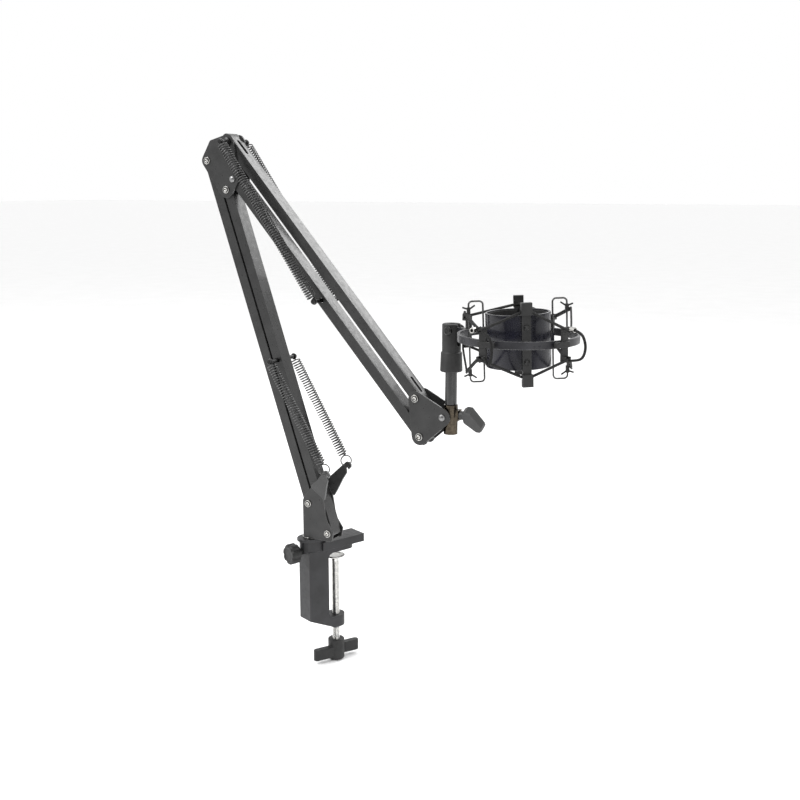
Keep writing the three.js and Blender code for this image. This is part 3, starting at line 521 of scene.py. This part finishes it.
def coil_points(low, high):
    """The close coil, drawn in to the axis over the first and the last half turn."""
    turns = round((high - low) / SPRING_PITCH)
    steps = turns * PER_TURN
    points = []
    for i in range(steps + 1):
        angle = TAU * i / PER_TURN
        ease = min(1, (i + 2) / 8, (steps - i + 2) / 8)
        reach = COIL_RADIUS * ease
        height = low + (high - low) * i / steps
        points.append((reach * math.sin(angle), reach * math.cos(angle), height))
    return points


def spring_path(start, end, ringed):
    """A coil with an eye round the pin at its end and a pin eye or a large ring at its start."""
    span = end - start
    place = facing(span, start)
    length = span.length
    top_eye = eye_points(PIN_EYE_RADIUS, length, 0, False)
    if ringed:
        first_eye = eye_points(RING_EYE_RADIUS, RING_EYE_RADIUS - SPRING_WIRE, RING_EYE_TURN, True)
        low = 2 * RING_EYE_RADIUS
    else:
        first_eye = eye_points(PIN_EYE_RADIUS, 0, 0, True)
        low = PIN_EYE_RADIUS + 0.8 * MM
    coil = coil_points(low, length - PIN_EYE_RADIUS - 0.8 * MM)
    return [place @ Vector(point) for point in first_eye + coil + top_eye[::-1]]


def build_springs():
    # How far the CAD envelope stops short of the start and the end of each spring.
    short_of = {"lower": (6.0 * MM, 3.4 * MM), "upper": (3.4 * MM, 3.4 * MM)}
    for arm in ("lower", "upper"):
        start_gap, end_gap = short_of[arm]
        for side in ("near", "far"):
            node = f"{arm}_spring_{side}"
            middle = centre(node)
            end = centre(f"{arm}_spring_pin")
            end.y = middle.y
            half = end - middle
            start = end - half.normalized() * (2 * half.length + start_gap - end_gap)
            path = spring_path(start, end, arm == "lower")
            coil = sweep(f"{node}_coil", path, SPRING_WIRE, SPRING_STEEL, sides=8)
            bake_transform(coil)
            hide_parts(node)


build_springs()

# ---------------------------------------------------------------- elastic cord

CORD_RADIUS = 1.2 * MM
THIN_CORD_RADIUS = 0.85 * MM
BRAIDS_PER_METRE = 900.0
POST_DEGREES = (-10.6, 93.3, 180.0, 273.2)
SPINE_SKEW = 7.3


def cord_hooks(end):
    """Every place that holds the cord at one level, in order round the ring: its frame, radius,
    angle, height, body and kind."""
    return [
        (CRADLE, 29.7 * MM, SPINE_SKEW, end * 27.0 * MM, "cradle", "spine"),
        (MOUNT, 57.0 * MM, POST_DEGREES[0], end * 13.5 * MM, "mount", "post"),
        (CRADLE, 44.6 * MM, 90.0, end * 24.5 * MM, "cradle", "clip"),
        (MOUNT, 57.0 * MM, POST_DEGREES[1], end * 13.5 * MM, "mount", "post"),
        (CRADLE, 29.7 * MM, 180.0 - SPINE_SKEW, end * 27.0 * MM, "cradle", "spine"),
        (MOUNT, 57.0 * MM, POST_DEGREES[2], end * 13.5 * MM, "mount", "post"),
        (CRADLE, 44.6 * MM, 270.0, end * 24.5 * MM, "cradle", "clip"),
        (MOUNT, 57.0 * MM, POST_DEGREES[3], end * 13.5 * MM, "mount", "post"),
    ]


def hook_point(hook, spread, lift=0.0):
    place, radius, degrees, height, _, _ = hook
    angle = math.radians(degrees) + spread / radius
    return place @ Vector((radius * math.cos(angle), radius * math.sin(angle), height + lift))


def cord_span(name, node, hook, after, radius, lift=0.0):
    """One run of cord from the middle of a hook to the middle of the next."""
    reach = 3.7 * MM
    path = [
        hook_point(hook, 0, lift),
        hook_point(hook, reach, lift),
        hook_point(after, -reach, lift),
        hook_point(after, 0, lift),
    ]
    span = sweep(name, smooth_path(path, 10), radius, CORD, 12, uv_per_metre=BRAIDS_PER_METRE)
    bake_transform(span)
    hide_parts(node)


def build_cord():
    """The cord runs single to the spines and is laid double between the posts and the clips."""
    for name, end in (("upper", 1), ("lower", -1)):
        hooks = cord_hooks(end)
        for i, (hook, after) in enumerate(zip(hooks, hooks[1:] + hooks[:1])):
            span = f"cord_{name}_{i + 1}"
            node = f"elastic_cord_{name}"
            if "clip" in (hook[5], after[5]):
                cord_span(f"{span}_a", node, hook, after, THIN_CORD_RADIUS, 0.85 * MM)
                cord_span(f"{span}_b", node, hook, after, THIN_CORD_RADIUS, -0.85 * MM)
            else:
                cord_span(span, node, hook, after, CORD_RADIUS)


build_cord()

# ---------------------------------------------------------------- bolts, rivets and pins

UNDER_HEAD = size("elbow_plate_near", "elbow_plate_far").y / 2 + 0.3 * MM
PIN_RADIUS = 2.5 * MM


def six_sided(radius, angle):
    """The reach of a hexagon whose corners stand at that radius."""
    side = (angle % (TAU / 6)) - TAU / 12
    return radius * math.cos(TAU / 12) / math.cos(side)


def paint_groove_shade(piece, place, inner, outer, height_below):
    """Paints shade into a bolt's groove: the near faces between two radii get a dark second material, a painted
    shadow.
    """
    piece.data.materials.append(BLACK_SCREW)
    back = place.inverted()
    for polygon in piece.data.polygons:
        point = back @ polygon.center
        if inner < math.hypot(point.x, point.y) < outer and point.z < height_below:
            polygon.material_index = 1


def build_bolt(node, joint_at):
    """A washer with a sunk button head that has a hexagonal socket, and a nut on the far side."""
    face, far = -UNDER_HEAD, UNDER_HEAD
    profile = [
        (0, face - 0.7 * MM),
        (0.95 * MM, face - 0.7 * MM),
        (1.0 * MM, face - 1.9 * MM),
        (1.5 * MM, face - 2.0 * MM),
        (2.0 * MM, face - 1.5 * MM),
        (2.2 * MM, face - 0.4 * MM),
        (2.7 * MM, face - 0.4 * MM),
        (2.9 * MM, face - 1.0 * MM),
        (3.4 * MM, face - 1.0 * MM),
        (3.6 * MM, face - 0.5 * MM),
        (3.6 * MM, face),
        (PIN_RADIUS, face),
        (PIN_RADIUS, far),
        (4.2 * MM, far),
        (4.2 * MM, far + 1.7 * MM),
        (3.7 * MM, far + 2.1 * MM),
        (2.2 * MM, far + 2.1 * MM),
        (2.0 * MM, far + 2.2 * MM),
        (0, far + 2.2 * MM),
    ]

    def reach(radius, height, angle):
        socket = height < face - 0.5 * MM and radius < 1.05 * MM
        nut = height > far + 0.01 * MM and radius > 2.3 * MM
        return six_sided(radius, angle) if socket or nut else radius

    place = facing(Y_AXIS, joint_at)
    bolt = turned(f"{node}_metal", place, profile, BRIGHT, 0.15 * MM, 48, reach)
    # The dark groove round the head is painted shade.
    paint_groove_shade(bolt, place, 2.05 * MM, 2.8 * MM, face)
    stand_for(bolt, node)


def build_rivet(node, joint_at, from_y, to_y, near_dome, far_dome):
    """A rivet along Y with a domed head at either or both ends."""

    def dome(face, outward):
        steps = [(0.0, 1.7), (0.35, 1.65), (0.65, 1.35), (0.88, 0.8), (1.0, 0.25), (1.0, 0.0)]
        return [(3.3 * MM * r, face + outward * h * MM) for r, h in steps]

    profile = dome(from_y, -1) if near_dome else [(0, from_y), (PIN_RADIUS, from_y)]
    if near_dome:
        profile.append((PIN_RADIUS, from_y))
    if far_dome:
        profile.append((PIN_RADIUS, to_y))
        profile.extend(reversed(dome(to_y, 1)))
    else:
        profile.extend([(PIN_RADIUS, to_y), (0, to_y)])
    place = facing(Y_AXIS, joint_at)
    stand_for(turned(f"{node}_metal", place, profile, RIVET_STEEL, 0, 48), node)


def build_spring_pin(node, joint_at, collar_radius, middle_radius):
    """A pin across the arm, grooved near each end where the springs' eyes sit."""
    half = size(node).y / 2
    groove = abs(centre("upper_spring_near").y - joint_at.y)
    side = [
        (middle_radius, UNDER_HEAD),
        (collar_radius, UNDER_HEAD),
        (collar_radius, UNDER_HEAD + 2.0 * MM),
        (2.0 * MM, UNDER_HEAD + 2.5 * MM),
        (2.0 * MM, groove - 1.0 * MM),
        (1.5 * MM, groove - 0.7 * MM),
        (1.5 * MM, groove + 0.7 * MM),
        (2.5 * MM, groove + 1.2 * MM),
        (2.5 * MM, half - 0.5 * MM),
        (2.0 * MM, half),
        (0, half),
    ]
    mirrored = [(radius, -height) for radius, height in reversed(side)]
    place = facing(Y_AXIS, joint_at)
    stand_for(turned(f"{node}_metal", place, mirrored + side, BLACK_SCREW, 0.2 * MM, 40), node)


def build_fasteners():
    bolts = {
        "base_bolt_front": base_front,
        "base_bolt_rear": base_rear,
        "elbow_bolt_front": elbow_front,
        "elbow_bolt_rear": elbow_rear,
        "head_bolt_top": head_upper,
        "head_bolt_bottom": head_lower,
    }
    for node, joint_at in bolts.items():
        build_bolt(node, joint_at)
    build_rivet("elbow_rivet", elbow_lower, -UNDER_HEAD, UNDER_HEAD, True, True)
    shank_end = 5.5 * MM
    build_rivet("head_rivet_near", head_pivot, -UNDER_HEAD, -shank_end, True, False)
    build_rivet("head_rivet_far", head_pivot, shank_end, UNDER_HEAD, False, True)
    build_spring_pin("elbow_spring_pin", elbow_upper, 4.1 * MM, PIN_RADIUS)
    for arm in ("lower", "upper"):
        node = f"{arm}_spring_pin"
        build_spring_pin(node, centre(node), 2.0 * MM, 2.0 * MM)


build_fasteners()

# ---------------------------------------------------------------- clamp


def build_clamp_screw():
    """A threaded rod: the thread's height runs round and up the rod together."""
    low, high = corners("clamp_screw")
    radius = size("clamp_screw").x / 2
    pitch = 1.25 * MM
    sides, per_pitch = 32, 6
    steps = round((high.z - low.z) / pitch * per_pitch)
    bm = bmesh.new()
    rings = []
    for i in range(steps + 1):
        height = low.z + (high.z - low.z) * i / steps
        plain = min(1, max(0, (high.z - height) / MM - 3.0))
        ring = []
        for j in range(sides):
            phase = (height / pitch - j / sides) % 1
            depth = 0.42 * MM * abs(2 * phase - 1) * plain
            chamfer = max(0, 1 - (high.z - height) / MM) * 0.8 * MM
            reach = radius - depth - chamfer
            turn = TAU * j / sides
            ring.append(bm.verts.new((reach * math.cos(turn), reach * math.sin(turn), height)))
        rings.append(ring)
    skin_rings(bm, rings)
    stand_for(make_object("clamp_screw_thread", bm, SCREW_STEEL), "clamp_screw")


def build_clamp_pad():
    low, high = corners("clamp_pad")
    radius = size("clamp_pad").x / 2
    profile = [
        (0, low.z),
        (radius * 0.55, low.z),
        (radius * 0.6, low.z + 0.7 * MM),
        (radius - 0.5 * MM, low.z + 0.9 * MM),
        (radius, low.z + 1.3 * MM),
        (radius, high.z),
        (radius * 0.72, high.z),
        (radius * 0.68, high.z - 0.4 * MM),
        (0, high.z - 0.4 * MM),
    ]
    stand_for(turned("clamp_pad_metal", Matrix(), profile, SCREW_STEEL, 0.25 * MM), "clamp_pad")


def build_lock_knob():
    """A lobed knob with a ringed neck on a stud, turned about the clamp's own direction."""
    place = CLAMP @ Matrix.Rotation(TAU / 4, 4, "Y")
    place.translation = Vector((0, 0, pivot("lock_knob_turn").z))
    reach_from_screw = [clamp_direction.dot(Vector(v)) for v in (swivel, pivot("lock_knob_turn"))]
    spigot, knob = reach_from_screw
    outer, inner = knob - 5 * MM, knob + 5 * MM
    radius = 10.4 * MM
    profile = [
        (0, outer + 0.7 * MM),
        (6.2 * MM, outer + 0.7 * MM),
        (6.8 * MM, outer),
        (radius - 1.4 * MM, outer),
        (radius, outer + 1.6 * MM),
        (radius, inner - 1.2 * MM),
        (radius - 1.2 * MM, inner),
        (6.6 * MM, inner),
        (6.2 * MM, inner + 1.0 * MM),
        (6.2 * MM, inner + 2.4 * MM),
        (3.0 * MM, inner + 2.5 * MM),
        (3.0 * MM, spigot - 5.6 * MM),
        (0, spigot - 5.6 * MM),
    ]

    def lobed(at, height, angle):
        if at < 7.2 * MM or height > inner + 0.1 * MM:
            return at
        groove = 0.5 - 0.5 * math.cos(7 * angle)
        return at - 1.5 * MM * groove**3 * min(1, (at - 6.8 * MM) / (2.5 * MM))

    stand_for(turned("lock_knob_plastic", place, profile, BLACK_PLASTIC, 0.5 * MM, 112, lobed), "lock_knob")


def build_clamp():
    build_clamp_screw()
    build_clamp_pad()
    build_lock_knob()
    refined("clamp_body", CAST_PAINT, 1.3, 4)
    refined("clamp_handle", BLACK_PLASTIC, 1.2, 4)


build_clamp()

# ---------------------------------------------------------------- bars, plates and base


def build_arms():
    for node in ("lower_bar_front", "lower_bar_rear", "upper_bar_top", "upper_bar_bottom"):
        refined(node, STEEL_PAINT, 0.7, 3)
    for joint in ("elbow", "head"):
        for side in ("near", "far"):
            refined(f"{joint}_plate_{side}", PLATE_PAINT, 0.35, 3)
    refined("base_bracket", PLATE_PAINT, 0.45, 3)
    refined("base_spigot", BRIGHT, 0.3, 2)


build_arms()

# ---------------------------------------------------------------- post and sleeve


def build_post():
    refined("post_clamp", BARREL_METAL, 0.4, 3)
    refined("wing_handle", GREY_PLASTIC, 1.2, 4)
    refined("post", POST_PAINT, 0.4, 3)
    refined("sleeve", SLEEVE_PLASTIC, 0.8, 4)
    refined("mount_bolt", BLACK_SCREW, 0.3, 2)


build_post()

# ---------------------------------------------------------------- shock mount


def block(bm, place, low, high):
    """A box between two corners of a local frame, added to the mesh."""
    made = bmesh.ops.create_cube(bm, size=1.0)
    low, high = Vector(low), Vector(high)
    scale = Matrix.Diagonal((*(high - low), 1.0))
    matrix = place @ Matrix.Translation((low + high) / 2) @ scale
    bmesh.ops.transform(bm, matrix=matrix, verts=made["verts"])


def build_wire_loop(side, degrees):
    """A closed loop of wire in a radial plane, with a black pronged clip near each end."""
    place = CRADLE @ Matrix.Rotation(math.radians(degrees), 4, "Z")
    inner, outer, high, corner = 29.4 * MM, 41.5 * MM, 34.5 * MM, 3.0 * MM
    turns = [
        (inner + corner, high - corner, 90),
        (inner + corner, corner - high, 180),
        (outer - corner, corner - high, 270),
        (outer - corner, high - corner, 360),
    ]
    path = []
    for x, z, start in turns:
        for step in range(7):
            angle = math.radians(start + 15 * step)
            path.append(place @ Vector((x + corner * math.cos(angle), 0, z + corner * math.sin(angle))))
    wire = sweep(f"wire_{side}", path, 0.8 * MM, WIRE_STEEL, 12, closed=True)
    stand_for(wire, f"wire_loop_{side}")

    bm = bmesh.new()
    for end in (-1, 1):
        at = end * (high - 8.0 * MM)
        clip_low = (outer - 1.5 * MM, -1.7 * MM, at - 3 * MM)
        clip_high = (outer + 1.6 * MM, 1.7 * MM, at + 3 * MM)
        block(bm, place, clip_low, clip_high)
        for base_x, reach, lean in ((outer - 1 * MM, -5.4 * MM, 35), (outer + 1 * MM, 4.6 * MM, -20)):
            tilt = Matrix.Rotation(math.radians(end * lean), 4, "Y")
            prong = place @ Matrix.Translation((base_x, 0, at + end * 1.6 * MM)) @ tilt
            x = sorted((0.0, reach))
            block(bm, prong, (x[0], -0.7 * MM, -0.7 * MM), (x[1], 0.7 * MM, 0.7 * MM))
    clips = make_object(f"wire_clips_{side}", bm, BLACK_PLASTIC)
    soften(clips, 0.3)
    stand_for(clips, f"wire_loop_{side}")


def build_shock_mount():
    refined("outer_ring", RING_METAL, 0.5, 3)
    for i in range(4):
        refined(f"ring_post_{i + 1}", BLACK_PLASTIC, 0.35, 2)
    for side, degrees in (("right", 90), ("left", 270)):
        refined(f"cradle_shell_{side}", CRADLE_PLASTIC, 0.5, 3)
        refined(f"cradle_lining_{side}", FOAM, 0.5, 2)
        build_wire_loop(side, degrees)
        refined(f"cord_crimp_{side}", BRIGHT, 0.2, 2)
        refined(f"cord_loop_{side}", CORD, 0.1, 1)
    for side in ("front", "rear"):
        refined(f"spine_{side}", BLACK_PLASTIC, 0.4, 3)
        for level in ("upper", "lower"):
            refined(f"spine_screw_{side}_{level}", BLACK_SCREW, 0.2, 2)


build_shock_mount()

# ---------------------------------------------------------------- floor, light and camera


FLOOR_HALF_WIDTH = 30
FLOOR_BELOW = 0.0005


def build_stage():
    lowest = before[0][2]
    bm = bmesh.new()
    bmesh.ops.create_grid(bm, x_segments=8, y_segments=8, size=FLOOR_HALF_WIDTH)
    bm.transform(Matrix.Translation((0, 0, lowest - FLOOR_BELOW)))
    material, tree, shader, vector = new_material("floor", 0.55)
    tint = ramp(tree, noise(tree, vector, 0.01), [(0.3, grey(0.93)), (0.7, grey(0.96))])
    tree.links.new(tint, shader.inputs["Base Color"])
    floor = make_object("floor", bm, material)


build_stage()
middle = (Vector(before[0]) + Vector(before[1])) / 2


CARD_WIDTH = 1.5
CARD_HEIGHT = 1.9
CARD_DISTANCE = 2.1


def add_dark_card(turn):
    """A black card on the camera's side of the object, seen in reflections only."""
    angle = math.radians(turn)
    outward = Vector((math.cos(angle), math.sin(angle), 0))
    across = Z_AXIS.cross(outward) * CARD_WIDTH / 2
    upward = Z_AXIS * CARD_HEIGHT
    foot = Vector((middle.x, middle.y, before[0][2])) + outward * CARD_DISTANCE
    bm = bmesh.new()
    outline = (foot - across, foot + across, foot + across + upward, foot - across + upward)
    bm.faces.new([bm.verts.new(corner) for corner in outline])
    material, tree, shader, vector = new_material(f"card {turn}", 0.9)
    cloth = ramp(tree, noise(tree, vector, 0.5), [(0.3, grey(0.002)), (0.7, grey(0.004))])
    tree.links.new(cloth, shader.inputs["Base Color"])
    card = make_object(f"card_{turn}".replace("-", "m"), bm, material)
    card.visible_camera = False
    card.visible_diffuse = False
    card.visible_shadow = False


for card_turn in (-100, -61, -22):
    add_dark_card(card_turn)


def add_light(name, location, aim, width, power):
    light = bpy.data.lights.new(name, "AREA")
    light.shape = "SQUARE"
    light.size = width
    light.energy = power
    lamp = bpy.data.objects.new(name, light)
    lamp.location = location
    lamp.rotation_euler = (Vector(aim) - Vector(location)).to_track_quat("-Z", "Y").to_euler()
    bpy.context.collection.objects.link(lamp)


add_light("key", middle + Vector((-1.1, -1.3, 1.5)), middle, 1.2, 38)
add_light("fill", middle + Vector((1.6, -1.0, 0.6)), middle, 1.4, 14)
add_light("back", middle + Vector((0.3, 1.6, 1.4)), middle, 1.2, 22)

world = bpy.data.worlds.new("studio")
world.use_nodes = True
world.node_tree.nodes["Background"].inputs["Color"].default_value = (1, 1, 1, 1)
world.node_tree.nodes["Background"].inputs["Strength"].default_value = 1.0
bpy.context.scene.world = world
bpy.context.scene.view_settings.view_transform = "Standard"


CAMERA_AZIMUTH = math.radians(29.0)
CAMERA_PITCH = math.radians(11.3)
CAMERA_FROM_BASE = Vector((0.5695, -0.8500, 0.3063))
SENSOR_WIDTH = 36.0
LENS = 47.925


def build_camera():
    level = math.cos(CAMERA_PITCH)
    back = Vector(
        (math.sin(CAMERA_AZIMUTH) * level, -math.cos(CAMERA_AZIMUTH) * level, math.sin(CAMERA_PITCH))
    )
    camera = bpy.data.cameras.new("camera")
    camera.lens = LENS
    camera.sensor_width = SENSOR_WIDTH
    holder = bpy.data.objects.new("camera", camera)
    holder.location = base_front + CAMERA_FROM_BASE
    holder.rotation_euler = back.to_track_quat("Z", "Y").to_euler()
    bpy.context.collection.objects.link(holder)
    bpy.context.scene.camera = holder


build_camera()
